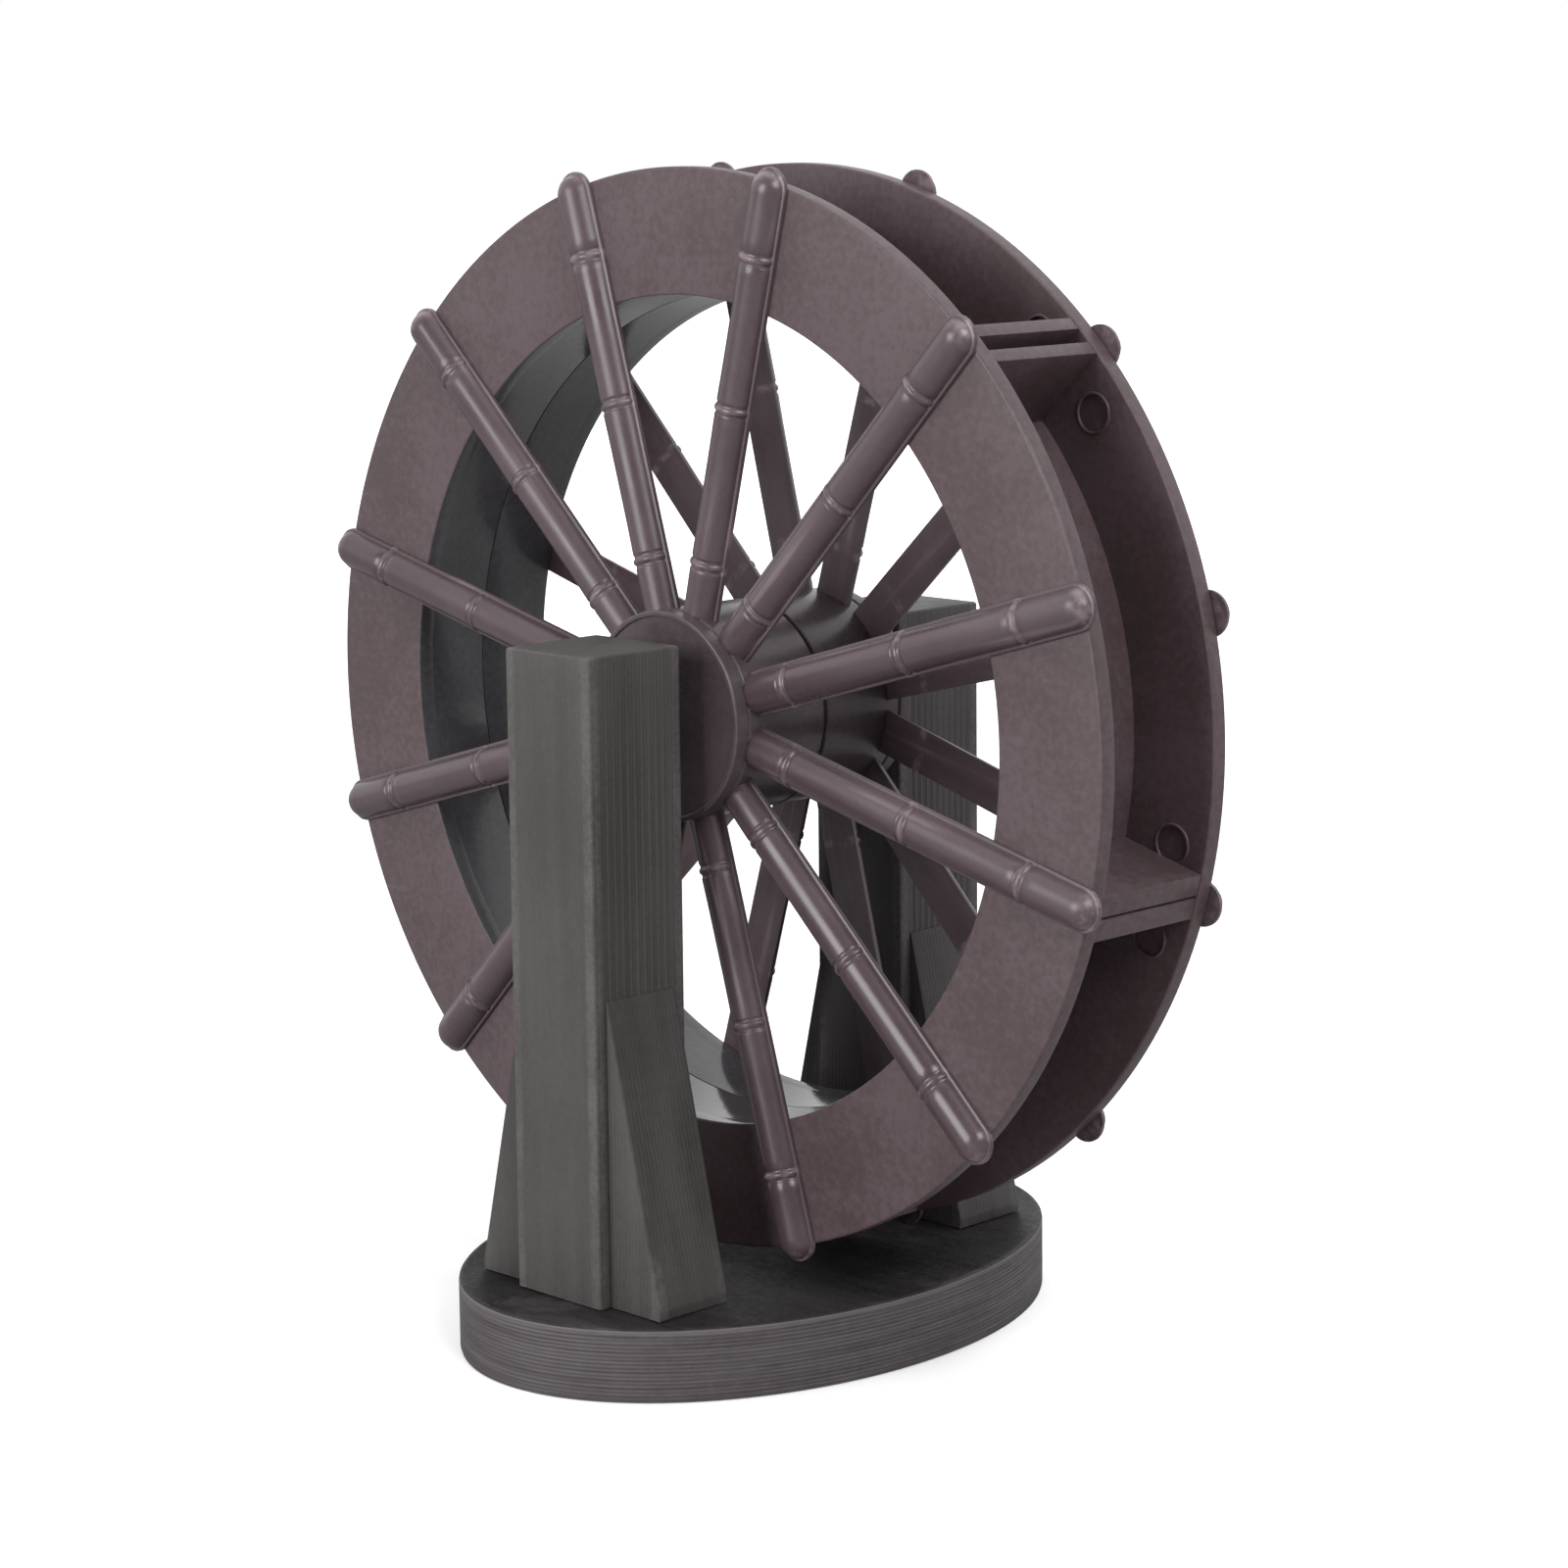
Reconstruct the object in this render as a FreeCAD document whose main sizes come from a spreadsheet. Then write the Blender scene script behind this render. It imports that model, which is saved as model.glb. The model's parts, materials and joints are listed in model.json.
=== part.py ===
"""Small water wheel on a horizontal axle, held between two posts on an oval base.

Frame: millimetres, +Z up, origin at the middle of the base's underside.
X runs across the wheel, Y runs along the axle, the front is at -Y.
"""
import FreeCAD, Part
import math
import os
import Sketcher
from FreeCAD import Placement, Rotation, Vector

# ---------------------------------------------------------------- driving dimensions (mm, degrees)
SIZES = [
    # wheel
    ("wheel_radius", 85.0, "centre of the axle to the rim"),
    ("wheel_half_width", 14.0, "middle of the wheel to a side plate's outer face"),
    ("plate_thickness", 2.9, "side plate"),
    ("ring_width", 19.7, "side plate, from the rim in to its round opening and the drum's inside"),
    ("drum_wall", 4.6, "wall of the drum that is the floor of the buckets"),
    ("drum_seam_width", 0.25, "step beside the joint where the two drum halves meet, each half"),
    ("drum_seam_depth", 0.4, "depth of that step"),
    ("hub_seam_width", 0.4, "step beside the joint where the two hub halves meet, each half"),
    ("hub_seam_depth", 0.6, "depth of that step"),
    ("wheel_phase", 45.0, "angle of the first board pair above +X at rest"),
    ("half_twist", 1.3, "turn of each wheel half's spokes from the board pair, opposite ways"),
    ("ejector_inset", 6.4, "rim to the round ejector marks inside the side plates"),
    ("ejector_angle", 5.6, "ejector marks, each side of every other spoke"),
    ("ejector_mark_radius", 3.0, "radius of one mark"),
    ("ejector_mark_depth", 0.4, "depth of one mark"),
    # bucket boards
    ("thin_board", 2.3, "boards of the open pairs"),
    ("thin_board_gap", 2.6, "slot between the boards of an open pair"),
    ("thick_board", 3.4, "boards of the closed pairs"),
    ("thick_board_gap", 0.4, "slot between the boards of a closed pair"),
    ("board_setback", 0.2, "outer edge of a board below the rim"),
    # spokes
    ("spoke_radius", 3.15, "half-round bar"),
    ("spoke_overhang", 2.0, "domed end of a spoke's bar beyond the rim"),
    ("spoke_node_bump", 0.25, "height of a bamboo node ring above the bar"),
    ("spoke_node_width", 0.9, "width of a node ring"),
    ("node_inner_inset", 8.1, "hub barrel to the first node ring"),
    ("node_middle", 49.7, "axle to the second node ring"),
    ("node_outer_inset", 11.5, "third node ring to the rim"),
    ("flange_width", 0.4, "thin flange beside the bar and round its end"),
    ("flange_thickness", 0.7, "thickness of the flange"),
    # hub
    ("hub_radius", 16.7, "outside of the hub barrel"),
    ("hub_overhang", 5.5, "hub's end face beyond the side plate"),
    ("hub_wall", 2.4, "wall of the hub barrel"),
    ("hub_disc_thickness", 2.8, "end disc of the hub"),
    ("hub_lip_width", 0.9, "raised lip round the end disc"),
    ("hub_lip_height", 0.4, "height of that lip"),
    ("hub_boss_wall", 3.44, "wall of the bearing boss inside the hub"),
    # axle
    ("pin_radius", 2.0, "steel axle pin"),
    ("pin_chamfer", 0.4, "chamfer at the pin's ends"),
    ("running_clearance", 0.06, "radial clearance of the hub on the pin"),
    ("seat_clearance", 0.04, "radial clearance of pins, pegs and screws in their seats"),
    ("pin_seat_depth", 7.0, "blind bore in a post's inner face"),
    ("pin_end_gap", 0.5, "bore bottom to the end of the pin"),
    ("spacer_wall", 1.56, "wall of the spacer on the pin between hub and post"),
    ("end_play", 0.15, "spacer to the hub's recessed end face"),
    # stand
    ("tip_clearance", 1.0, "top of the base to the lowest spoke's flange"),
    ("base_end_margin", 11.05, "oval base beyond the posts, along the axle"),
    ("base_side_margin", 18.55, "oval base beyond the feet of the braces, across"),
    ("base_thickness", 11.6, "oval base"),
    ("base_edge_round", 0.7, "rounded edges of the base"),
    ("post_side", 18.9, "square section of a post"),
    ("hub_to_post", 4.95, "hub's end face to a post's inner face"),
    ("post_above_axle", 12.7, "axle to the top of a post"),
    ("post_edge_round", 0.6, "rounded edges of a post"),
    ("brace_reach", 11.0, "foot of a brace, from the post's side"),
    ("brace_height", 48.0, "height of a brace above the base"),
    ("brace_inset", 2.25, "brace back from the post's faces, along the axle"),
    ("brace_top", 0.1, "flat at the top of a brace"),
    ("brace_toe", 1.6, "upright toe at the foot of a brace"),
    ("peg_radius", 1.6, "locating peg under a brace"),
    ("peg_length", 4.0, "length of the peg"),
    ("peg_offset", 4.0, "post's side to the peg's centre"),
    ("peg_end_gap", 0.4, "socket bottom to the end of the peg"),
    # screws
    ("screw_radius", 1.5, "shank of a post screw"),
    ("screw_into_post", 12.0, "length of the shank inside the post"),
    ("screw_hole_extra", 1.0, "pilot hole beyond the end of the screw"),
    ("screw_head_radius", 2.9, "head of a post screw"),
    ("screw_head_height", 2.0, "height of the head"),
    ("screw_head_recess", 0.8, "underside of the base to the head"),
    ("screw_head_clearance", 0.4, "radial clearance round the head"),
    ("screw_slot_width", 0.9, "width of the cross recess"),
    ("screw_slot_length", 3.4, "length of the cross recess"),
    ("screw_slot_depth", 1.0, "depth of the cross recess"),
]

SPOKES = 12
BOARD_PAIRS = 6
OPEN_PAIRS = (1, 4)   # the two opposite board pairs with a wide slot

doc = FreeCAD.newDocument("water_wheel")
sheet = doc.addObject("Spreadsheet::Sheet", "dims")


class Size:
    """A size with its number and the spreadsheet expression that gives it."""

    def __init__(self, value, text):
        self.value = value
        self.text = text

    def __add__(self, other):
        other = as_size(other)
        return Size(self.value + other.value, f"({self.text} + {other.text})")

    def __sub__(self, other):
        other = as_size(other)
        return Size(self.value - other.value, f"({self.text} - {other.text})")

    def __mul__(self, factor):
        return Size(self.value * factor, f"({self.text} * {factor})")

    def __truediv__(self, factor):
        return Size(self.value / factor, f"({self.text} / {factor})")

    def __neg__(self):
        return Size(-self.value, f"(-1 * {self.text})")


def as_size(value):
    return value if isinstance(value, Size) else Size(float(value), str(float(value)))


def fill_sheet():
    """Write the driving dimensions and return them by name."""
    sizes = {}
    for row, (name, value, note) in enumerate(SIZES, start=1):
        sheet.set(f"A{row}", name)
        sheet.set(f"B{row}", str(value))
        sheet.set(f"C{row}", note)
        sheet.setAlias(f"B{row}", name)
        sizes[name] = Size(value, f"dims.{name}")
    doc.recompute()
    return sizes


d = fill_sheet()

# sizes that follow from the driving ones
drum_inner_radius = d["wheel_radius"] - d["ring_width"]
drum_outer_radius = drum_inner_radius + d["drum_wall"]
plate_inner_face = d["wheel_half_width"] - d["plate_thickness"]
ejector_radius = d["wheel_radius"] - d["ejector_inset"]
spoke_tip_radius = d["wheel_radius"] + d["spoke_overhang"]
node_radii = (
    d["hub_radius"] + d["node_inner_inset"],
    d["node_middle"],
    d["wheel_radius"] - d["node_outer_inset"],
)
hub_half_length = d["wheel_half_width"] + d["hub_overhang"]
hub_bore_radius = d["pin_radius"] + d["running_clearance"]
hub_boss_radius = hub_bore_radius + d["hub_boss_wall"]
seat_bore_radius = d["pin_radius"] + d["seat_clearance"]
spacer_radius = seat_bore_radius + d["spacer_wall"]
axle_height = d["base_thickness"] + d["tip_clearance"] + spoke_tip_radius + d["flange_width"]
post_inner_face = hub_half_length + d["hub_to_post"]
post_centre = post_inner_face + d["post_side"] / 2
post_height = axle_height + d["post_above_axle"] - d["base_thickness"]
base_half_length = post_inner_face + d["post_side"] + d["base_end_margin"]
base_half_width = d["post_side"] / 2 + d["brace_reach"] + d["base_side_margin"]
brace_thickness = d["post_side"] - d["brace_inset"] * 2
pin_half_length = post_inner_face + d["pin_seat_depth"] - d["pin_end_gap"]
screw_hole_radius = d["screw_radius"] + d["seat_clearance"]

sub_parts = []


# ---------------------------------------------------------------- sketch and feature helpers
def bind(obj, prop, size):
    obj.setExpression(prop, as_size(size).text)


def new_body(label):
    body = doc.addObject("PartDesign::Body", label)
    body.Label = label
    sub_parts.append(body)
    return body


def origin_feature(body, role):
    return next(item for item in body.Origin.OriginFeatures if item.Role == role)


def new_sketch(body, role, offset=None):
    """A sketch on one of the body's own planes, moved along the plane's normal by offset.

    The normal of XZ_Plane points at the front, so a positive offset is in front of the middle.
    """
    sketch = body.newObject("Sketcher::SketchObject", "sketch")
    sketch.AttachmentSupport = [(origin_feature(body, role), "")]
    sketch.MapMode = "FlatFace"
    if offset is not None:
        bind(sketch, "AttachmentOffset.Base.z", offset)
    return sketch


def constrain(sketch, kind, *places, size):
    index = sketch.addConstraint(Sketcher.Constraint(kind, *places, size.value))
    sketch.setExpression(f"Constraints[{index}]", size.text)


def hold_point(sketch, line, end, x, y):
    """Hold a line's end at (x, y) from the sketch's origin."""
    for size, kind, axis in ((x, "DistanceX", -2), (y, "DistanceY", -1)):
        if size.value == 0.0:
            sketch.addConstraint(Sketcher.Constraint("PointOnObject", line, end, axis))
        else:
            constrain(sketch, kind, -1, 1, line, end, size=size)


def polygon(sketch, points):
    """Closed outline whose corners are held by the sheet."""
    points = [(as_size(x), as_size(y)) for x, y in points]
    corners = [Vector(x.value, y.value, 0) for x, y in points]
    count = len(corners)
    first = sketch.GeometryCount
    for i in range(count):
        sketch.addGeometry(Part.LineSegment(corners[i], corners[(i + 1) % count]), False)
    for i in range(count):
        sketch.addConstraint(Sketcher.Constraint("Coincident", first + i, 2, first + (i + 1) % count, 1))
        hold_point(sketch, first + i, 1, *points[i])


def rectangle(sketch, x_low, x_high, y_low, y_high):
    polygon(sketch, [(x_low, y_low), (x_high, y_low), (x_high, y_high), (x_low, y_high)])


def round_ended_strip(sketch, start, end, radius):
    """Strip along X from start to end, with a half circle of the radius past its end."""
    centre = Vector(end.value, 0, 0)
    low, high = Vector(0, -radius.value, 0), Vector(0, radius.value, 0)
    near = Vector(start.value, 0, 0)
    sketch.addGeometry(Part.LineSegment(near + low, centre + low))
    half = Part.Circle(centre, Vector(0, 0, 1), radius.value)
    sketch.addGeometry(Part.ArcOfCircle(half, -math.pi / 2, math.pi / 2))
    sketch.addGeometry(Part.LineSegment(centre + high, near + high))
    sketch.addGeometry(Part.LineSegment(near + high, near + low))
    for line in range(4):
        sketch.addConstraint(Sketcher.Constraint("Coincident", line, 2, (line + 1) % 4, 1))
    hold_point(sketch, 0, 1, start, -radius)
    hold_point(sketch, 2, 2, start, radius)
    hold_point(sketch, 1, 3, end, as_size(0))
    constrain(sketch, "Radius", 1, size=radius)
    constrain(sketch, "DistanceX", -1, 1, 0, 2, size=end)
    constrain(sketch, "DistanceX", -1, 1, 2, 1, size=end)


def circle(sketch, radius, x=0, y=0):
    x, y = as_size(x), as_size(y)
    index = sketch.addGeometry(Part.Circle(Vector(x.value, y.value, 0), Vector(0, 0, 1), radius.value), False)
    hold_point(sketch, index, 3, x, y)
    constrain(sketch, "Radius", index, size=radius)


def pad(body, sketch, length, midplane=False):
    feature = body.newObject("PartDesign::Pad", "pad")
    feature.Profile = sketch
    bind(feature, "Length", length)
    feature.Midplane = midplane
    return feature


def pocket(body, sketch, depth, reverse=False, midplane=False):
    """Cut a sketch into the body, and stop if it cuts nothing."""
    doc.recompute()
    before = body.Shape.Volume
    feature = body.newObject("PartDesign::Pocket", "pocket")
    feature.Profile = sketch
    bind(feature, "Length", depth)
    feature.Reversed = reverse
    feature.Midplane = midplane
    doc.recompute()
    if body.Shape.Volume >= before - 1e-6:
        raise RuntimeError(f"{body.Label}: a pocket cut nothing")
    return feature


def revolve(body, sketch, axis, angle=360.0, reverse=False):
    feature = body.newObject("PartDesign::Revolution", "revolution")
    feature.Profile = sketch
    feature.ReferenceAxis = (sketch, [axis])
    feature.Angle = angle
    feature.Reversed = reverse
    return feature


def round_edges(body, radius, wanted):
    """Fillet the edges of the body's tip for which wanted(edge) is true."""
    doc.recompute()
    tip = body.Tip
    names = [f"Edge{i}" for i, edge in enumerate(tip.Shape.Edges, start=1) if wanted(edge)]
    if not names:
        raise RuntimeError(f"{body.Label}: no edge to round")
    feature = body.newObject("PartDesign::Fillet", "fillet")
    feature.Base = (tip, names)
    bind(feature, "Radius", radius)
    return feature


def turned(label, outline):
    """A body turned about its Y axis, from an outline of (radius, y) corners."""
    body = new_body(label)
    sketch = new_sketch(body, "XY_Plane")
    polygon(sketch, outline)
    revolve(body, sketch, "V_Axis")
    return body


# ---------------------------------------------------------------- the two wheel halves
def half_placement(side, step_angle=0.0, twist=0.0):
    """Place a piece of a wheel half at step_angle round the wheel, with its half's own twist.

    Both halves are the same moulding. The rear one is turned over about the line through the
    first board pair, which carries its twist the other way.
    """
    wheel_centre = Vector(0, 0, axle_height.value)
    place_turn = Rotation(Vector(0, 1, 0), -(d["wheel_phase"].value + step_angle))
    half_twist = Rotation(Vector(0, 1, 0), -twist)
    if side == "rear":
        turned_over = Rotation(Vector(1, 0, 0), 180)
        return Placement(wheel_centre, place_turn * turned_over * half_twist)
    return Placement(wheel_centre, place_turn * half_twist)


def build_side_plate(side):
    """Flat ring with shallow round ejector marks on its inner face."""
    body = new_body(f"{side}_side_plate")
    ring = new_sketch(body, "XZ_Plane", plate_inner_face)
    circle(ring, d["wheel_radius"])
    circle(ring, drum_inner_radius)
    pad(body, ring, d["plate_thickness"])
    marks = new_sketch(body, "XZ_Plane", plate_inner_face)
    for sign in (-1, 1):
        angle = math.radians(sign * d["ejector_angle"].value)
        circle(marks, d["ejector_mark_radius"], ejector_radius * math.cos(angle),
               ejector_radius * math.sin(angle))
    cut = pocket(body, marks, d["ejector_mark_depth"], reverse=True)
    pattern = body.newObject("PartDesign::PolarPattern", "pattern")
    pattern.Originals = [cut]
    pattern.Axis = (origin_feature(body, "Y_Axis"), [""])
    pattern.Angle = 360
    pattern.Occurrences = BOARD_PAIRS
    body.Tip = pattern
    body.Placement = half_placement(side, twist=d["half_twist"].value)


def build_drum_half(side):
    """Half of the drum, stepped beside the joint so that the seam shows inside and outside."""
    step, deep = d["drum_seam_width"], d["drum_seam_depth"]
    inner = drum_inner_radius
    body = turned(f"{side}_drum_half", [
        (inner, -plate_inner_face),
        (drum_outer_radius, -plate_inner_face),
        (drum_outer_radius, -step),
        (drum_outer_radius - deep, -step),
        (drum_outer_radius - deep, 0),
        (inner + deep, 0),
        (inner + deep, -step),
        (inner, -step),
    ])
    body.Placement = half_placement(side)


def build_hub_half(side):
    """Half of the hub barrel: end disc with a raised lip, wall, and the bearing boss inside."""
    end = hub_half_length
    disc_back = end - d["hub_disc_thickness"]
    wall_inside = d["hub_radius"] - d["hub_wall"]
    lip_inside = d["hub_radius"] - d["hub_lip_width"]
    recessed_face = end - d["hub_lip_height"]
    seam_bottom = d["hub_radius"] - d["hub_seam_depth"]
    body = turned(f"{side}_hub_half", [
        (hub_bore_radius, 0),
        (hub_boss_radius, 0),
        (hub_boss_radius, -disc_back),
        (wall_inside, -disc_back),
        (wall_inside, 0),
        (seam_bottom, 0),
        (seam_bottom, -d["hub_seam_width"]),
        (d["hub_radius"], -d["hub_seam_width"]),
        (d["hub_radius"], -end),
        (lip_inside, -end),
        (lip_inside, -recessed_face),
        (hub_bore_radius, -recessed_face),
    ])
    body.Placement = half_placement(side)


def build_spoke(side, number):
    """Half-round bamboo-style bar with node rings, a domed tip and thin flanges."""
    body = new_body(f"{side}_spoke_{number:02d}")
    back = d["wheel_half_width"]
    radius = d["spoke_radius"]
    inner_end = d["hub_radius"] - radius
    dome_start = spoke_tip_radius - radius

    bar = new_sketch(body, "XZ_Plane", back)
    dome_centre = Vector(dome_start.value, 0, 0)
    corner = Vector(dome_start.value, radius.value, 0)
    bar.addGeometry(Part.LineSegment(Vector(inner_end.value, 0, 0), Vector(inner_end.value, radius.value, 0)))
    bar.addGeometry(Part.LineSegment(Vector(inner_end.value, radius.value, 0), corner))
    quarter = Part.Circle(dome_centre, Vector(0, 0, 1), radius.value)
    bar.addGeometry(Part.ArcOfCircle(quarter, 0, math.pi / 2))
    bar.addGeometry(Part.LineSegment(Vector(spoke_tip_radius.value, 0, 0), Vector(inner_end.value, 0, 0)))
    for first, first_end, second, second_end in ((0, 2, 1, 1), (1, 2, 2, 2), (2, 1, 3, 1), (3, 2, 0, 1)):
        bar.addConstraint(Sketcher.Constraint("Coincident", first, first_end, second, second_end))
    hold_point(bar, 0, 1, inner_end, as_size(0))
    hold_point(bar, 0, 2, inner_end, radius)
    hold_point(bar, 2, 3, dome_start, as_size(0))
    hold_point(bar, 3, 1, spoke_tip_radius, as_size(0))
    constrain(bar, "DistanceX", -1, 1, 1, 2, size=dome_start)
    revolve(body, bar, "H_Axis", 180.0)

    rings = new_sketch(body, "XZ_Plane", back)
    half_ring = d["spoke_node_width"] / 2
    for node in node_radii:
        rectangle(rings, node - half_ring, node + half_ring, 0, radius + d["spoke_node_bump"])
    revolve(body, rings, "H_Axis", 180.0)

    flange = new_sketch(body, "XZ_Plane", back)
    round_ended_strip(flange, inner_end, dome_start, radius + d["flange_width"])
    pad(body, flange, d["flange_thickness"])

    hub_cut = new_sketch(body, "XZ_Plane", back)
    circle(hub_cut, d["hub_radius"])
    pocket(body, hub_cut, hub_half_length, reverse=True)
    body.Placement = half_placement(side, (number - 1) * 360.0 / SPOKES, d["half_twist"].value)


def build_board(side, number):
    """Flat bucket board that spans the side plates, one of a pair."""
    is_open = number in OPEN_PAIRS
    thickness = d["thin_board"] if is_open else d["thick_board"]
    gap = d["thin_board_gap"] if is_open else d["thick_board_gap"]
    body = new_body(f"{side}_bucket_board_{number}")
    outline = new_sketch(body, "XZ_Plane", -plate_inner_face)
    rectangle(outline, drum_outer_radius, d["wheel_radius"] - d["board_setback"],
              gap / 2, gap / 2 + thickness)
    pad(body, outline, plate_inner_face * 2)
    body.Placement = half_placement(side, (number - 1) * 360.0 / BOARD_PAIRS)


# ---------------------------------------------------------------- the axle
def build_axle_pin():
    radius, chamfer, end = d["pin_radius"], d["pin_chamfer"], pin_half_length
    body = turned("axle_pin", [
        (0, -end), (radius - chamfer, -end), (radius, -(end - chamfer)),
        (radius, end - chamfer), (radius - chamfer, end), (0, end),
    ])
    body.Placement = Placement(Vector(0, 0, axle_height.value), Rotation())


def build_spacer(side):
    """Sleeve that keeps the hub off the post."""
    hub_side = hub_half_length - d["hub_lip_height"] + d["end_play"]
    body = turned(f"{side}_spacer", [
        (seat_bore_radius, -post_inner_face), (spacer_radius, -post_inner_face),
        (spacer_radius, -hub_side), (seat_bore_radius, -hub_side),
    ])
    body.Placement = stand_placement(side, axle_height.value)


# ---------------------------------------------------------------- the stand
def stand_placement(side, height=0.0):
    """The front pieces are drawn in place; the rear ones are turned half round."""
    return Placement(Vector(0, 0, height), Rotation(Vector(0, 0, 1), 180 if side == "rear" else 0))


def peg_x(sign):
    return (d["post_side"] / 2 + d["peg_offset"]) * sign


def build_base():
    """Oval base with screw holes from below and sockets for the braces' pegs."""
    body = new_body("base_plate")
    oval = new_sketch(body, "XY_Plane")
    long_end = Vector(0, base_half_length.value, 0)
    short_end = Vector(base_half_width.value, 0, 0)
    oval.addGeometry(Part.Ellipse(long_end, short_end, Vector(0, 0, 0)), False)
    oval.exposeInternalGeometry(0)
    oval.addConstraint(Sketcher.Constraint("Coincident", 0, 3, -1, 1))
    oval.addConstraint(Sketcher.Constraint("Vertical", 1))
    constrain(oval, "Distance", 1, size=base_half_length * 2)
    constrain(oval, "Distance", 2, size=base_half_width * 2)
    pad(body, oval, d["base_thickness"])
    round_edges(body, d["base_edge_round"], lambda edge: True)

    for sign in (-1, 1):
        through = new_sketch(body, "XY_Plane")
        circle(through, screw_hole_radius, 0, post_centre * sign)
        pocket(body, through, d["base_thickness"], reverse=True)
        seat = new_sketch(body, "XY_Plane")
        circle(seat, d["screw_head_radius"] + d["screw_head_clearance"], 0, post_centre * sign)
        pocket(body, seat, d["screw_head_recess"] + d["screw_head_height"], reverse=True)
        for across in (-1, 1):
            socket = new_sketch(body, "XY_Plane", d["base_thickness"])
            circle(socket, d["peg_radius"] + d["seat_clearance"], peg_x(across), post_centre * sign)
            pocket(body, socket, d["peg_length"] + d["peg_end_gap"])


def build_post(side):
    """Square post with a blind bore for the axle pin and a pilot hole for its screw."""
    body = new_body(f"{side}_post")
    half = d["post_side"] / 2
    section = new_sketch(body, "XY_Plane", d["base_thickness"])
    rectangle(section, -half, half, -(post_centre + half), -post_inner_face)
    pad(body, section, post_height)
    bottom = d["base_thickness"].value
    round_edges(body, d["post_edge_round"], lambda edge: edge.BoundBox.ZMax > bottom + 1.0)
    bore = new_sketch(body, "XZ_Plane", post_inner_face)
    circle(bore, seat_bore_radius, 0, axle_height)
    pocket(body, bore, d["pin_seat_depth"], reverse=True)
    pilot = new_sketch(body, "XY_Plane", d["base_thickness"])
    circle(pilot, screw_hole_radius, 0, -post_centre)
    pocket(body, pilot, d["screw_into_post"] + d["screw_hole_extra"], reverse=True)
    body.Placement = stand_placement(side)


def build_brace(side, hand):
    """Wedge against the post's side, standing on the base with a peg under it."""
    body = new_body(f"{side}_{hand}_brace")
    sign = 1 if (hand == "right") == (side == "front") else -1
    wall = d["post_side"] / 2
    foot = d["base_thickness"]
    wedge = new_sketch(body, "XZ_Plane", post_centre)
    polygon(wedge, [
        (wall * sign, foot),
        ((wall + d["brace_reach"]) * sign, foot),
        ((wall + d["brace_reach"]) * sign, foot + d["brace_toe"]),
        ((wall + d["brace_top"]) * sign, foot + d["brace_height"]),
        (wall * sign, foot + d["brace_height"]),
    ])
    pad(body, wedge, brace_thickness, midplane=True)
    peg = new_sketch(body, "XY_Plane", foot - d["peg_length"])
    circle(peg, d["peg_radius"], peg_x(sign), -post_centre)
    pad(body, peg, d["peg_length"])
    body.Placement = stand_placement(side)


def build_screw(side):
    """Self-tapping screw from below, with a cross recess in its head."""
    head_face = d["screw_head_recess"]
    head_top = head_face + d["screw_head_height"]
    tip = d["base_thickness"] + d["screw_into_post"]
    point = tip - d["screw_radius"]
    body = new_body(f"{side}_post_screw")
    profile = new_sketch(body, "XZ_Plane")
    polygon(profile, [
        (0, head_face), (d["screw_head_radius"], head_face), (d["screw_head_radius"], head_top),
        (d["screw_radius"], head_top), (d["screw_radius"], point), (0, tip),
    ])
    revolve(body, profile, "V_Axis")
    half_width, half_length = d["screw_slot_width"] / 2, d["screw_slot_length"] / 2
    for across, along in ((half_width, half_length), (half_length, half_width)):
        slot = new_sketch(body, "XY_Plane", head_face)
        rectangle(slot, -across, across, -along, along)
        pocket(body, slot, d["screw_slot_depth"], reverse=True)
    sign = -1 if side == "front" else 1
    body.Placement = Placement(Vector(0, post_centre.value * sign, 0), Rotation())


# ---------------------------------------------------------------- build, check and write
def build_all():
    build_base()
    build_axle_pin()
    for side in ("front", "rear"):
        build_post(side)
        for hand in ("left", "right"):
            build_brace(side, hand)
        build_screw(side)
        build_spacer(side)
        build_side_plate(side)
        build_drum_half(side)
        build_hub_half(side)
        for number in range(1, SPOKES + 1):
            build_spoke(side, number)
        for number in range(1, BOARD_PAIRS + 1):
            build_board(side, number)
    doc.recompute()


def check_document():
    for obj in doc.Objects:
        if "Invalid" in obj.State or "Error" in obj.State:
            raise RuntimeError(f"{obj.Label} failed: {obj.State}")
    for body in sub_parts:
        if body.Shape.isNull() or not body.Shape.isValid():
            raise RuntimeError(f"{body.Label} has no valid shape")


build_all()
check_document()
os.makedirs("parts", exist_ok=True)
for body in sub_parts:
    body.Shape.exportStep(f"parts/{body.Label}.step")
    print(f"{body.Label}: {len(body.Shape.Solids)} solid, {body.Shape.Volume:.1f} mm3")
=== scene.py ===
import json
import math

import bmesh
import bpy
from mathutils import Matrix, Vector


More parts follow.
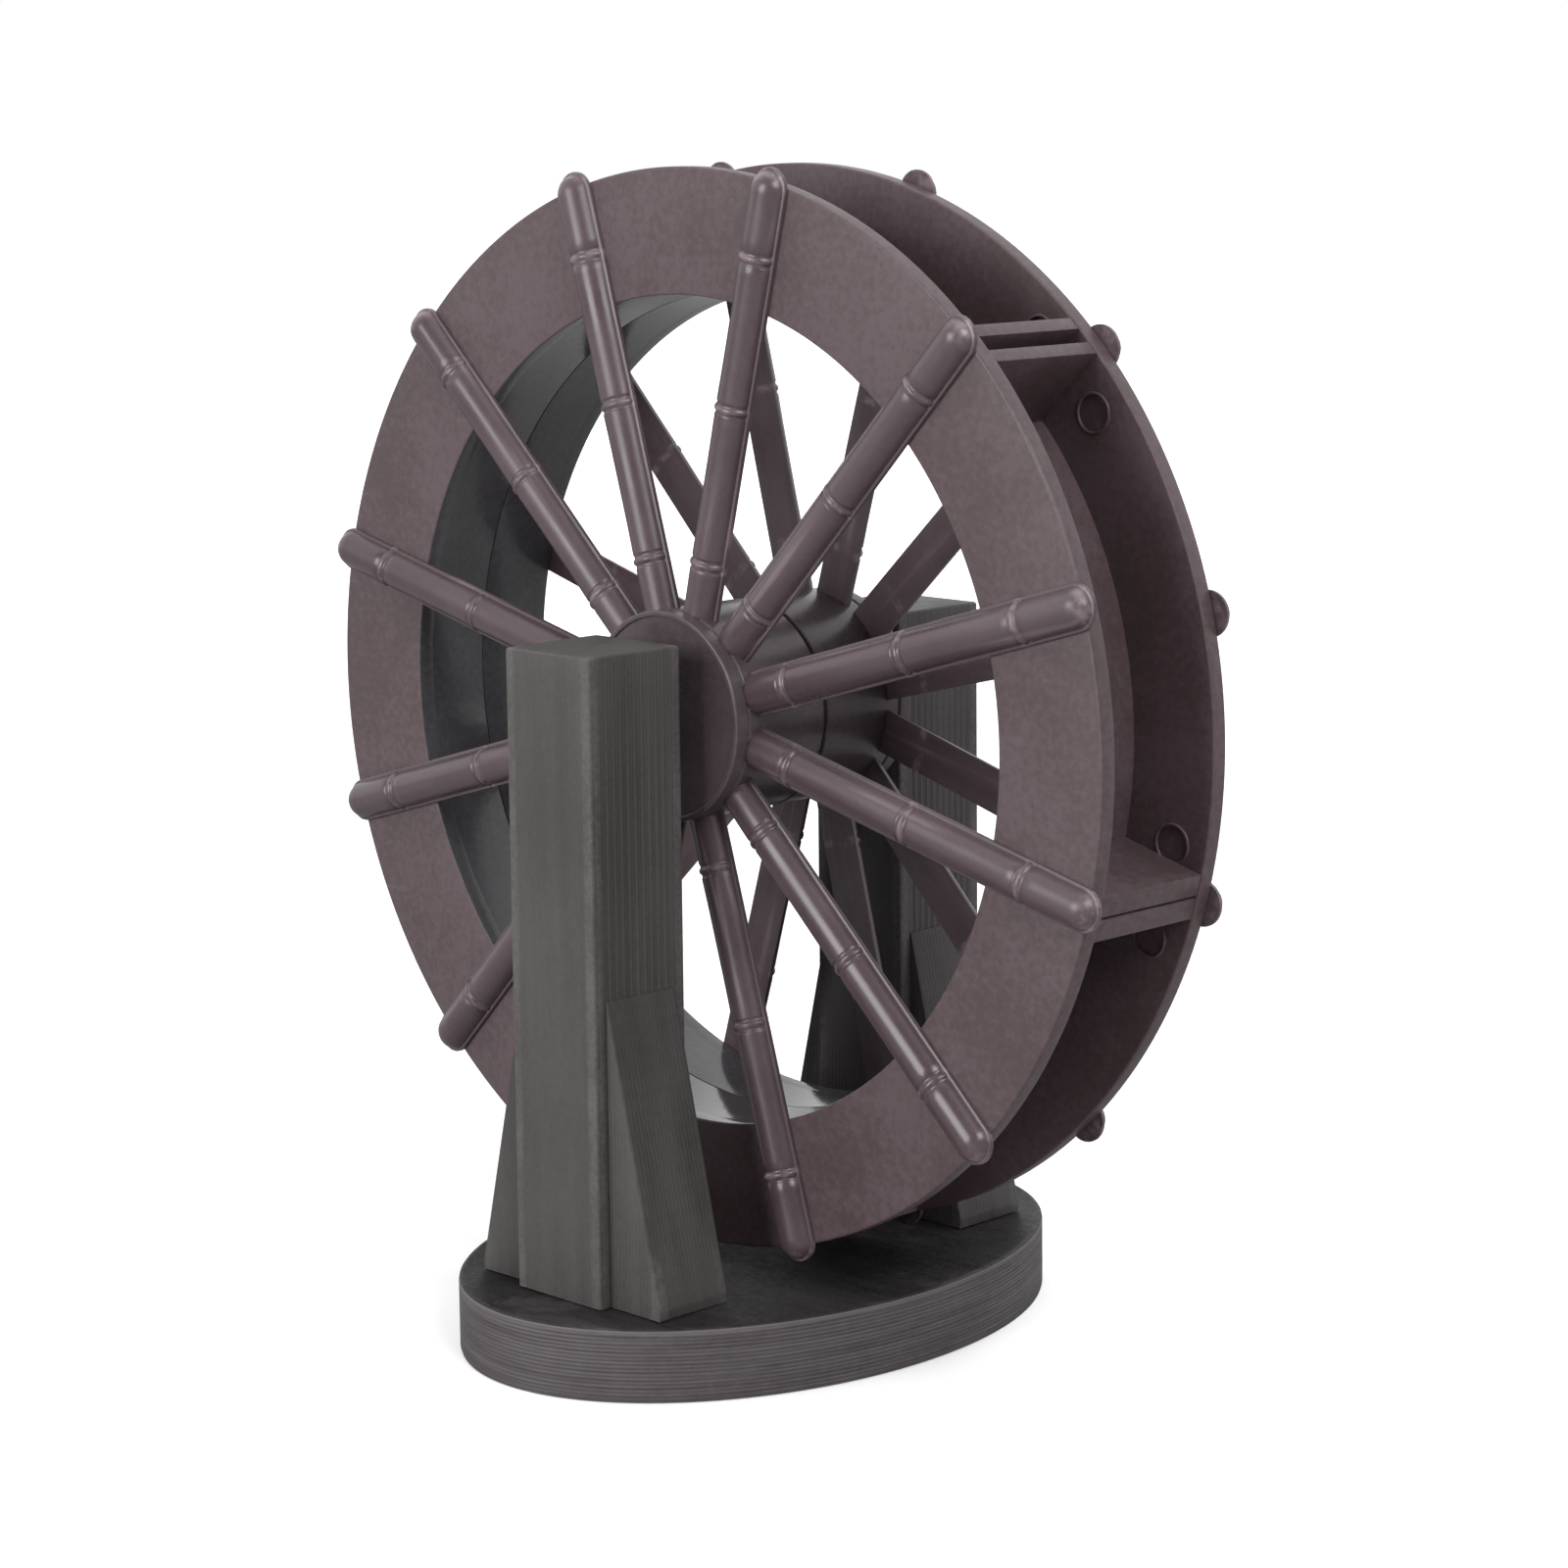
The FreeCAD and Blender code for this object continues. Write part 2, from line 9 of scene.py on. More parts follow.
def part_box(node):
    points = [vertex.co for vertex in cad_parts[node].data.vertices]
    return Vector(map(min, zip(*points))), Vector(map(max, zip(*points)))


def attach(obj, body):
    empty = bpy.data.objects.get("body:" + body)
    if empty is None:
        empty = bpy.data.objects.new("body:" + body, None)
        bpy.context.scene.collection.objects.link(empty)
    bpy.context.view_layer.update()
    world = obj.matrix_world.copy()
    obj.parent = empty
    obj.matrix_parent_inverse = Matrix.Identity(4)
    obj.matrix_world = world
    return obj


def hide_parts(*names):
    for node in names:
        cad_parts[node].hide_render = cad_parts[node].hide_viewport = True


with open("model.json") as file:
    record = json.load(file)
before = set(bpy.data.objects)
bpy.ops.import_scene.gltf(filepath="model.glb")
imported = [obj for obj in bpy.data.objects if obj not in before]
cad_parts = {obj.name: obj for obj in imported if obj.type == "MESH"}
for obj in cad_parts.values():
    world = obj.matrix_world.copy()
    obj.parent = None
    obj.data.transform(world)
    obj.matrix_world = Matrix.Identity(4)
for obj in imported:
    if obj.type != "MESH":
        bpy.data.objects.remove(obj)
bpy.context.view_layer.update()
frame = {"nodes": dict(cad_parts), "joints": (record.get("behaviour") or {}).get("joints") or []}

MM = 0.001

# ------------------------------------------------------------------ sizes taken from the CAD frame
AXLE = Vector(frame["joints"][0]["pos_m"])
plate_low, plate_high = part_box("front_side_plate")
RIM = plate_high.x
PLATE_OUT = -plate_low.y
PLATE_IN = -plate_high.y
drum_low, drum_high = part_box("front_drum_half")
DRUM_OUT = drum_high.x
hub_low, hub_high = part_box("front_hub_half")
HUB_R = hub_high.x
HUB_END = -hub_low.y
base_low, base_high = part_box("base_plate")
BASE_TOP = base_high.z

# ------------------------------------------------------------------ sizes repeated from the CAD source
DRUM_IN = 65.3 * MM
BORE_R = 2.06 * MM
SPOKE_R = 3.15 * MM
SPOKE_TIP = 87.0 * MM
NODES = [24.8 * MM, 49.7 * MM, 73.5 * MM]
FLANGE = 0.4 * MM
FLANGE_T = 0.7 * MM
PHASE = math.radians(45.0)
TWIST = math.radians(1.3)
SPOKES = 12
PAIRS = 6
OPEN_PAIRS = (1, 4)
MARK_R = 3.0 * MM
MARK_DISTANCE = 78.6 * MM
MARK_ANGLE = 5.6

# ------------------------------------------------------------------ sizes that only the looks have
MARK_CUTTER_DEPTH = 0.9 * MM
MARK_BURR = 0.25 * MM
CREASE_DEG = 32.0
RIM_SEGMENTS = 288
HUB_SEGMENTS = 144
BASE_SEGMENTS = 256
RIDGE_PITCH = 1.45 * MM
RIDGE_DEPTH = 0.17 * MM
FACE_LINE_PITCH = 0.74 * MM
LAYER_PITCH = 0.62 * MM
RIM_LIP_MM = 0.18


# ------------------------------------------------------------------ mesh helpers
def shade(bm, sharp_deg):
    """Smooth faces, with a crease wherever two of them meet at more than the given angle."""
    limit = math.radians(sharp_deg)
    for face in bm.faces:
        face.smooth = True
    for edge in bm.edges:
        edge.smooth = not (len(edge.link_faces) == 2 and edge.calc_face_angle(0.0) > limit)


def stack_rings(bm, rings):
    """Walls between closed rings of vertices, from the first to the last, and a flat cap on each end."""
    count = len(rings[0])
    for low, high in zip(rings, rings[1:]):
        for i in range(count):
            j = (i + 1) % count
            bm.faces.new((low[i], low[j], high[j], high[i]))
    bm.faces.new(list(reversed(rings[0])))
    bm.faces.new(rings[-1])


def finish_mesh(name, bm, material, body, node, sharp_deg=CREASE_DEG):
    """Turn a bmesh into a smooth-shaded object with sharp creases, riding on its body.

    material is one material, or a list for faces that carry a material index.
    """
    bmesh.ops.remove_doubles(bm, verts=bm.verts, dist=1e-7)
    bmesh.ops.recalc_face_normals(bm, faces=bm.faces)
    shade(bm, sharp_deg)
    mesh = bpy.data.meshes.new(name)
    bm.to_mesh(mesh)
    bm.free()
    for item in material if isinstance(material, list) else [material]:
        mesh.materials.append(item)
    obj = bpy.data.objects.new(name, mesh)
    bpy.context.scene.collection.objects.link(obj)
    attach(obj, body)
    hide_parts(node)
    return obj


def fillet_loop(points, radius, steps=4):
    """Round the corners of a closed 2-D loop. radius is one number or one per corner."""
    radii = radius if isinstance(radius, (list, tuple)) else [radius] * len(points)
    result = []
    count = len(points)
    for i, corner in enumerate(points):
        corner = Vector(corner)
        before = Vector(points[i - 1]) - corner
        after = Vector(points[(i + 1) % count]) - corner
        r = radii[i]
        if r <= 0 or before.length < 1e-9 or after.length < 1e-9:
            result.append(tuple(corner))
            continue
        half = before.angle(after) / 2
        reach = min(r / math.tan(half), before.length * 0.49, after.length * 0.49)
        start = corner + before.normalized() * reach
        end = corner + after.normalized() * reach
        for k in range(steps + 1):
            t = k / steps
            point = start * (1 - t) ** 2 + corner * 2 * t * (1 - t) + end * t ** 2
            result.append(tuple(point))
    return result


def revolve_loop(bm, loop, segments):
    """Closed (radius, y) loop turned about the wheel's axle."""
    rings = []
    for s in range(segments):
        a = 2 * math.pi * s / segments
        ca, sa = math.cos(a), math.sin(a)
        rings.append([bm.verts.new((r * ca, y, AXLE.z + r * sa)) for r, y in loop])
    count = len(loop)
    for s in range(segments):
        ring, following = rings[s], rings[(s + 1) % segments]
        for i in range(count):
            j = (i + 1) % count
            bm.faces.new((ring[i], ring[j], following[j], following[i]))


def box_mesh(bm, low, high, bevel, segments=2):
    """Box with rounded edges between two corners."""
    centre = (Vector(low) + Vector(high)) / 2
    size = Vector(high) - Vector(low)
    place = Matrix.Translation(centre) @ Matrix.Diagonal((*size, 1.0))
    made = bmesh.ops.create_cube(bm, size=1.0, matrix=place)
    edges = list({e for v in made["verts"] for e in v.link_edges})
    bmesh.ops.bevel(bm, geom=edges, offset=bevel, segments=segments, profile=0.6, affect="EDGES")


def wheel_matrix(side, angle, twist):
    """From (radial, tangential, outward) to the frame, for a piece of one wheel half."""
    turn = PHASE + angle + (twist if side == "front" else -twist)
    radial = Vector((math.cos(turn), 0, math.sin(turn)))
    along = Vector((-math.sin(turn), 0, math.cos(turn)))
    outward = Vector((0, -1, 0))
    if side == "rear":
        along, outward = -along, -outward
    matrix = Matrix((radial, along, outward)).transposed().to_4x4()
    matrix.translation = AXLE
    return matrix


# ------------------------------------------------------------------ material helpers
class Shader:
    """A Principled material with short ways to add nodes."""

    def __init__(self, name):
        self.material = bpy.data.materials.new(name)
        self.material.use_nodes = True
        self.tree = self.material.node_tree
        self.tree.nodes.clear()
        self.out = self.add("ShaderNodeOutputMaterial")
        self.bsdf = self.add("ShaderNodeBsdfPrincipled")
        self.link(self.bsdf.outputs[0], self.out.inputs[0])
        self.coords = self.add("ShaderNodeTexCoord").outputs["Object"]
        self.height = None

    def add(self, kind):
        return self.tree.nodes.new(kind)

    def link(self, a, b):
        self.tree.links.new(a, b)

    def put(self, socket, value):
        if isinstance(value, bpy.types.NodeSocket):
            self.link(value, socket)
        else:
            socket.default_value = value

    def mapped(self, scale):
        node = self.add("ShaderNodeMapping")
        node.inputs["Scale"].default_value = scale
        self.link(self.coords, node.inputs["Vector"])
        return node.outputs[0]

    def noise(self, scale, detail=3.0, rough=0.55, vector=None, distortion=0.0):
        node = self.add("ShaderNodeTexNoise")
        node.inputs["Scale"].default_value = scale
        node.inputs["Detail"].default_value = detail
        node.inputs["Roughness"].default_value = rough
        node.inputs["Distortion"].default_value = distortion
        self.link(vector if vector is not None else self.coords, node.inputs["Vector"])
        return node.outputs["Fac"]

    def ramp(self, value, low, high, start=0.0, end=1.0):
        node = self.add("ShaderNodeMapRange")
        node.interpolation_type = "SMOOTHSTEP"
        self.put(node.inputs["Value"], value)
        node.inputs["From Min"].default_value = low
        node.inputs["From Max"].default_value = high
        node.inputs["To Min"].default_value = start
        node.inputs["To Max"].default_value = end
        return node.outputs["Result"]

    def math(self, operation, a, b=0.0):
        node = self.add("ShaderNodeMath")
        node.operation = operation
        self.put(node.inputs[0], a)
        self.put(node.inputs[1], b)
        return node.outputs[0]

    def mix(self, fac, a, b):
        node = self.add("ShaderNodeMix")
        node.data_type = "RGBA"
        self.put(node.inputs["Factor"], fac)
        for socket, value in zip((node.inputs[6], node.inputs[7]), (a, b)):
            self.put(socket, value if not isinstance(value, tuple) else (*value, 1.0))
        return node.outputs[2]

    def bump(self, height, strength, distance):
        node = self.add("ShaderNodeBump")
        node.inputs["Strength"].default_value = strength
        node.inputs["Distance"].default_value = distance
        self.link(height, node.inputs["Height"])
        if self.height is not None:
            self.link(self.height, node.inputs["Normal"])
        self.height = node.outputs[0]
        self.link(self.height, self.bsdf.inputs["Normal"])

    def xyz(self):
        node = self.add("ShaderNodeSeparateXYZ")
        self.link(self.coords, node.inputs[0])
        return node.outputs

    def polar(self, squeeze):
        """Distance from the axle, and a vector that runs along the radius, round the wheel and along Y."""
        x, y, z = self.xyz()
        up = self.math("SUBTRACT", z, AXLE.z)
        squares = self.math("ADD", self.math("MULTIPLY", x, x), self.math("MULTIPLY", up, up))
        distance = self.math("SQRT", squares)
        node = self.add("ShaderNodeCombineXYZ")
        self.link(self.math("MULTIPLY", distance, squeeze), node.inputs[0])
        self.link(self.math("MULTIPLY", self.math("ARCTAN2", up, x), RIM / 2), node.inputs[1])
        self.link(y, node.inputs[2])
        return distance, node.outputs[0]

    def base(self, socket):
        self.link(socket, self.bsdf.inputs["Base Color"])

    def rough(self, value):
        self.put(self.bsdf.inputs["Roughness"], value)

    def set(self, name, value):
        self.bsdf.inputs[name].default_value = value


def moulded_plastic(name, dark, light, low_rough, high_rough, scuff=0.35):
    """Injection-moulded plastic: faint mottling, pale scuffs, satin sheen with fine texture."""
    s = Shader(name)
    cloud = s.noise(38.0, 4.0, 0.6)
    fine = s.noise(800.0, 3.0, 0.6)
    tone = s.ramp(s.math("ADD", s.math("MULTIPLY", cloud, 0.5), s.math("MULTIPLY", fine, 0.5)), 0.38, 0.62)
    colour = s.mix(tone, dark, light)
    scratches = s.noise(260.0, 5.0, 0.7, s.mapped((0.35, 1.0, 1.2)), 0.6)
    patches = s.noise(22.0, 3.0, 0.6)
    marks = s.math("MULTIPLY", s.ramp(scratches, 0.60, 0.78), s.ramp(patches, 0.48, 0.66, 0.0, scuff))
    pale = tuple(min(1.0, c * 1.9 + 0.03) for c in light)
    s.base(s.mix(marks, colour, pale))
    s.rough(s.ramp(s.math("ADD", s.math("MULTIPLY", cloud, 0.6), s.math("MULTIPLY", scratches, 0.4)),
                   0.35, 0.68, low_rough, high_rough))
    s.set("IOR", 1.5)
    s.set("Specular IOR Level", 0.5)
    s.bump(fine, 0.16, 0.00012)
    s.bump(s.noise(55.0, 2.0, 0.5), 0.10, 0.0006)
    return s.material


def cane_plastic(name, dark, light):
    """Glossier moulded plastic with lengthwise streaks and pale scratches, with a painted highlight on the
    rings and the spokes' ends.
    """
    s = Shader(name)
    distance, lengthwise = s.polar(0.06)
    streak = s.noise(420.0, 2.0, 0.5, lengthwise)
    patches = s.noise(45.0, 3.0, 0.55)
    grain = s.noise(1100.0, 3.0, 0.6)
    tone = s.math("ADD", s.math("MULTIPLY", streak, 0.35), s.math("MULTIPLY", patches, 0.40))
    tone = s.math("ADD", tone, s.math("MULTIPLY", grain, 0.25))
    colour = s.mix(s.ramp(tone, 0.36, 0.62), dark, light)
    # pale on the raised rings and the domed tips: painted highlight, where they catch the light
    raised = s.ramp(distance, SPOKE_TIP - 3.0 * MM, SPOKE_TIP - 0.8 * MM)
    for node in NODES:
        away = s.math("ABSOLUTE", s.math("SUBTRACT", distance, node))
        raised = s.math("MAXIMUM", raised, s.ramp(away, 0.3 * MM, 1.0 * MM, 1.0, 0.0))
    painted_sheen = s.math("MULTIPLY", raised, s.ramp(s.noise(420.0, 3.0, 0.6), 0.42, 0.68, 0.05, 0.75))
    scratched = s.math("MULTIPLY", s.ramp(streak, 0.58, 0.74), s.ramp(patches, 0.42, 0.62, 0.0, 0.6))
    pale = tuple(min(1.0, c * 2.0 + 0.04) for c in light)
    # the pale tone serves both the scratches and the painted highlight on the rings and tips
    s.base(s.mix(s.math("MAXIMUM", painted_sheen, scratched), colour, pale))
    s.rough(s.ramp(patches, 0.35, 0.65, 0.27, 0.38))
    s.set("IOR", 1.5)
    s.set("Specular IOR Level", 0.55)
    s.bump(patches, 0.15, 0.0005)
    return s.material


def printed_plastic(name, dark, light, centre, half):
    """Dull plastic with fine upright lines, and its upright edges painted slightly paler as a highlight.

    centre and half give the middle and half size of the square section across X and Y.
    """
    s = Shader(name)
    x, y = s.xyz()[:2]
    streak_vector = s.mapped((1.0, 1.0, 0.035))
    streak = s.noise(900.0, 3.0, 0.6, streak_vector)
    wide = s.noise(190.0, 3.0, 0.55, streak_vector)
    grain = s.noise(1300.0, 3.0, 0.6)
    cloud = s.noise(30.0, 3.0, 0.55)
    tone = s.math("ADD", s.math("MULTIPLY", wide, 0.45), s.math("MULTIPLY", cloud, 0.35))
    tone = s.math("ADD", tone, s.math("MULTIPLY", grain, 0.2))
    colour = s.mix(s.ramp(tone, 0.38, 0.62), dark, light)
    away_x = s.math("ABSOLUTE", s.math("SUBTRACT", x, centre[0]))
    away_y = s.math("ABSOLUTE", s.math("SUBTRACT", s.math("ABSOLUTE", y), abs(centre[1])))
    # a paler band along the upright edges: painted highlight
    near_edge = s.math("MULTIPLY", s.ramp(away_x, half[0] - 2.3 * MM, half[0] - 1.3 * MM),
                       s.ramp(away_y, half[1] - 2.3 * MM, half[1] - 1.3 * MM))
    blotch = s.math("ADD", s.math("MULTIPLY", s.noise(100.0, 3.0, 0.6), 0.5), s.math("MULTIPLY", grain, 0.5))
    pale_edges_and_sheen = s.math("MULTIPLY", near_edge, s.ramp(blotch, 0.40, 0.64, 0.10, 0.45))
    pale = tuple(c * 1.8 + 0.02 for c in light)
    s.base(s.mix(pale_edges_and_sheen, colour, pale))
    s.rough(s.ramp(wide, 0.3, 0.7, 0.47, 0.65))
    s.set("IOR", 1.48)
    s.set("Specular IOR Level", 0.45)
    # faint upright lines: a wave across X and one across Y, each seen on the faces that it crosses
    for axis in (x, y):
        wobble = s.math("MULTIPLY", s.noise(260.0, 2.0, 0.5, s.mapped((1.0, 1.0, 0.06))), 1.4)
        wave = s.math("SINE", s.math("ADD", s.math("MULTIPLY", axis, 2 * math.pi / FACE_LINE_PITCH), wobble))
        s.bump(wave, 0.14, 0.00012)
    s.bump(streak, 0.35, 0.00015)
    s.bump(grain, 0.18, 0.0001)
    return s.material


def layered_base(name, dark, light):
    """Dull plastic laid in thin level layers: lines round the side, and a rough grained top painted darker
    as shade, with painted sheen streaks.
    """
    s = Shader(name)
    z = s.xyz()[2]
    cloud = s.noise(28.0, 3.0, 0.55)
    grain = s.noise(1100.0, 4.0, 0.65)
    raster = s.noise(600.0, 3.0, 0.6, s.mapped((0.12, 1.0, 1.0)))
    tone = s.math("ADD", s.math("MULTIPLY", cloud, 0.5), s.math("MULTIPLY", raster, 0.3))
    tone = s.math("ADD", tone, s.math("MULTIPLY", grain, 0.2))
    lines = s.noise(1500.0, 3.0, 0.6, s.mapped((0.03, 0.03, 1.0)))
    # the flat top lies RIM_LIP_MM below the highest point of the rim round it
    on_top = s.ramp(z, BASE_TOP - 0.34 * MM, BASE_TOP - 0.2 * MM)
    banded = s.math("ADD", s.math("MULTIPLY", tone, 0.5), s.math("MULTIPLY", lines, 0.5))
    side = s.mix(s.ramp(banded, 0.36, 0.64), dark, light)
    # the top is painted far darker than the side: painted shade, as under the wheel
    shaded_top_dark = tuple(c * 0.18 for c in dark)
    shaded_top_light = tuple(c * 0.28 for c in light)
    colour = s.mix(on_top, side, s.mix(s.ramp(tone, 0.40, 0.62), shaded_top_dark, shaded_top_light))
    # pale streaks on the top: painted sheen
    sheen_streaks = s.noise(75.0, 4.0, 0.65, s.mapped((0.6, 1.0, 1.0)), 0.8)
    painted_sheen = s.math("MULTIPLY", s.ramp(sheen_streaks, 0.54, 0.70), on_top)
    pale = tuple(c * 1.9 + 0.02 for c in light)
    # a paler band round the upper edge of the side
    upper = s.ramp(z, BASE_TOP - 1.0 * MM, BASE_TOP - 0.5 * MM)
    rim = s.math("MULTIPLY", upper, s.math("SUBTRACT", 1.0, on_top))
    # the pale mix: painted sheen streaks on the top, and the pale band round the rim
    pale_edges_and_sheen = s.math("ADD", s.math("MULTIPLY", painted_sheen, 0.12), s.math("MULTIPLY", rim, 0.30))
    s.base(s.mix(pale_edges_and_sheen, colour, pale))
    s.rough(s.ramp(grain, 0.3, 0.7, 0.46, 0.64))
    s.set("IOR", 1.48)
    s.set("Specular IOR Level", 0.22)
    wobble = s.math("MULTIPLY", s.noise(60.0, 2.0, 0.5, s.mapped((1.0, 1.0, 3.0))), 2.0)
    layers = s.math("SINE", s.math("ADD", s.math("MULTIPLY", z, 2 * math.pi / LAYER_PITCH), wobble))
    s.bump(s.math("MULTIPLY", layers, s.ramp(cloud, 0.38, 0.62, 0.25, 1.0)), 0.34, 0.00014)
    s.bump(raster, 0.35, 0.00022)
    s.bump(grain, 0.30, 0.00018)
    return s.material


def turned_steel(name, colour, rough):
    """Drawn or plated steel with fine lines."""
    s = Shader(name)
    lines = s.noise(2500.0, 2.0, 0.5, s.mapped((1.0, 0.05, 1.0)))
    s.base(s.mix(s.ramp(lines, 0.3, 0.7), tuple(c * 0.8 for c in colour), colour))
    s.rough(s.ramp(lines, 0.3, 0.7, rough - 0.08, rough + 0.08))
    s.set("Metallic", 1.0)
    s.bump(lines, 0.15, 0.00005)
    return s.material


WHEEL = moulded_plastic("wheel_plastic", (0.073, 0.048, 0.053), (0.105, 0.072, 0.081), 0.38, 0.56, 0.50)
SPOKE = cane_plastic("spoke_plastic", (0.070, 0.047, 0.053), (0.096, 0.067, 0.075))
HUB = moulded_plastic("hub_plastic", (0.070, 0.052, 0.058), (0.088, 0.068, 0.076), 0.24, 0.40)
DRUM = moulded_plastic("drum_plastic", (0.074, 0.073, 0.081), (0.098, 0.096, 0.104), 0.13, 0.22, 0.05)
BASE = layered_base("base_plastic", (0.070, 0.061, 0.063), (0.116, 0.106, 0.108))
POST_GREY = ((0.050, 0.045, 0.044), (0.074, 0.068, 0.067))
# the braces take a darker copy of the posts' grey: painted shade low down by the base
BRACE_SHADED_GREY = ((0.044, 0.040, 0.039), (0.068, 0.063, 0.061))
STEEL = turned_steel("pin_steel", (0.55, 0.55, 0.56), 0.30)
SCREW = turned_steel("screw_steel", (0.50, 0.50, 0.50), 0.35)
SPACER = moulded_plastic("spacer_plastic", (0.03, 0.03, 0.03), (0.045, 0.044, 0.044), 0.40, 0.55)


# ------------------------------------------------------------------ the wheel
def mirror_y(loop, side):
    """A loop is drawn for the front half; the rear half has +Y for -Y."""
    return loop if side == "front" else [(r, -y) for r, y in loop]


def mark_places(side):
    """Where the round ejector marks are on the inner face of a side plate."""
    places = []
    for pair in range(PAIRS):
        for sign in (-1, 1):
            angle = math.radians(MARK_ANGLE * sign)
            across = MARK_DISTANCE * math.cos(angle)
            along = MARK_DISTANCE * math.sin(angle)
            centre = Matrix.Translation((across, along, PLATE_IN))
            places.append(wheel_matrix(side, pair * math.pi / 3, TWIST) @ centre)
    return places


def ring_mesh(bm, place, radius, thick):
    """Thin round burr that lies half in the surface."""
    around, section = 40, 8
    rings = []
    for i in range(around):
        a = 2 * math.pi * i / around
        ring = []
        for k in range(section):
            b = 2 * math.pi * k / section
            out = radius + thick * math.cos(b)
            point = Vector((out * math.cos(a), out * math.sin(a), thick * math.sin(b)))
            ring.append(bm.verts.new(place @ point))
        rings.append(ring)
    for i in range(around):
        ring, following = rings[i], rings[(i + 1) % around]
        for k in range(section):
            j = (k + 1) % section
            bm.faces.new((ring[k], following[k], following[j], ring[j]))


def build_side_plate(side):
    """Flat ring with soft edges and shallow round marks inside; its opening looks like the drum."""
    loop = [(DRUM_IN, -PLATE_OUT), (RIM, -PLATE_OUT), (RIM, -PLATE_IN), (DRUM_IN, -PLATE_IN)]
    loop = fillet_loop(loop, [0.35 * MM, 0.45 * MM, 0.35 * MM, 0.02 * MM])
    bm = bmesh.new()
    revolve_loop(bm, mirror_y(loop, side), RIM_SEGMENTS)
    node = f"{side}_side_plate"
    for ring_face in bm.faces:
        centre = ring_face.calc_center_median()
        opening = math.hypot(centre.x, centre.z - AXLE.z) < DRUM_IN + 0.1 * MM
        ring_face.material_index = 1 if opening else 0
    obj = finish_mesh(f"moulded_{node}", bm, [WHEEL, DRUM], "wheel", node)
    cutter_mesh = bpy.data.meshes.new("marks")
    marks = bmesh.new()
    for place in mark_places(side):
        bmesh.ops.create_cone(marks, cap_ends=True, segments=40, radius1=MARK_R, radius2=MARK_R,
                              depth=MARK_CUTTER_DEPTH, matrix=place)
    marks.to_mesh(cutter_mesh)
    marks.free()
    cutter = bpy.data.objects.new("marks", cutter_mesh)
    bpy.context.scene.collection.objects.link(cutter)
    cut = obj.modifiers.new("marks", "BOOLEAN")
    cut.operation = "DIFFERENCE"
    cut.solver = "EXACT"
    cut.object = cutter
    graph = bpy.context.evaluated_depsgraph_get()
    result = bpy.data.meshes.new_from_object(obj.evaluated_get(graph))
    obj.modifiers.clear()
    bm = bmesh.new()
    bm.from_mesh(result)
    for place in mark_places(side):
        ring_mesh(bm, place, MARK_R, MARK_BURR)
    bmesh.ops.recalc_face_normals(bm, faces=bm.faces)
    shade(bm, CREASE_DEG)
    bm.to_mesh(result)
    bm.free()
    obj.data = result
    bpy.data.objects.remove(cutter)


def build_drum_half(side):
    """Half of the drum, stepped back at the joint; the outside, the buckets' floor, is wheel plastic."""
    step, deep = 0.12 * MM, 0.2 * MM
    loop = [
        (DRUM_IN, -PLATE_IN), (DRUM_OUT, -PLATE_IN), (DRUM_OUT, -step), (DRUM_OUT - deep, -step),
        (DRUM_OUT - deep, 0.0), (DRUM_IN + deep, 0.0), (DRUM_IN + deep, -step), (DRUM_IN, -step),
    ]
    loop = fillet_loop(loop, [0, 0, 0.08 * MM, 0, 0, 0, 0, 0.08 * MM], 3)
    bm = bmesh.new()
    revolve_loop(bm, mirror_y(loop, side), RIM_SEGMENTS)
    middle = (DRUM_IN + DRUM_OUT) / 2
    for face in bm.faces:
        centre = face.calc_center_median()
        face.material_index = 1 if math.hypot(centre.x, centre.z - AXLE.z) > middle else 0
    node = f"{side}_drum_half"
    finish_mesh(f"moulded_{node}", bm, [DRUM, WHEEL], "wheel", node)


def build_hub_half(side):
    """Hub barrel with a rounded end disc, a raised lip, and a step beside the joint."""
    step, deep = 0.4 * MM, 0.6 * MM
    lip_in = HUB_R - 0.9 * MM
    face = HUB_END - 0.4 * MM
    neck = HUB_END - 2.7 * MM
    loop = [
        (BORE_R, 0.0), (HUB_R - deep, 0.0), (HUB_R - deep, -step), (HUB_R, -step),
        (HUB_R, -neck + 0.35 * MM), (HUB_R - 0.3 * MM, -neck), (HUB_R, -neck - 0.35 * MM),
        (HUB_R, -HUB_END), (lip_in, -HUB_END), (lip_in, -face), (BORE_R, -face),
    ]
    radii = [0, 0, 0, 0.25, 0.2, 0, 0.2, 0.35, 0.3, 0.1, 0]
    loop = fillet_loop(loop, [radius * MM for radius in radii])
    bm = bmesh.new()
    revolve_loop(bm, mirror_y(loop, side), HUB_SEGMENTS)
    node = f"{side}_hub_half"
    finish_mesh(f"moulded_{node}", bm, HUB, "wheel", node)


def spoke_profile(r):
    """Height of the half-round bar at distance r from the axle, with rings like a bamboo cane's."""
    height = SPOKE_R
    for node in NODES:
        away = abs(r - node)
        if away < 0.45 * MM:
            height += 0.24 * MM * math.cos(away / (0.45 * MM) * math.pi / 2) ** 0.5
        elif away < 1.1 * MM:
            height -= 0.09 * MM * math.sin((away - 0.45 * MM) / (0.65 * MM) * math.pi)
        else:
            height += 0.06 * MM * math.exp(-((away - 1.1 * MM) / (3.0 * MM)) ** 2)
    dome = SPOKE_TIP - SPOKE_R
    if r > dome:
        height = math.sqrt(max(0.0, SPOKE_R ** 2 - (r - dome) ** 2))
    return height


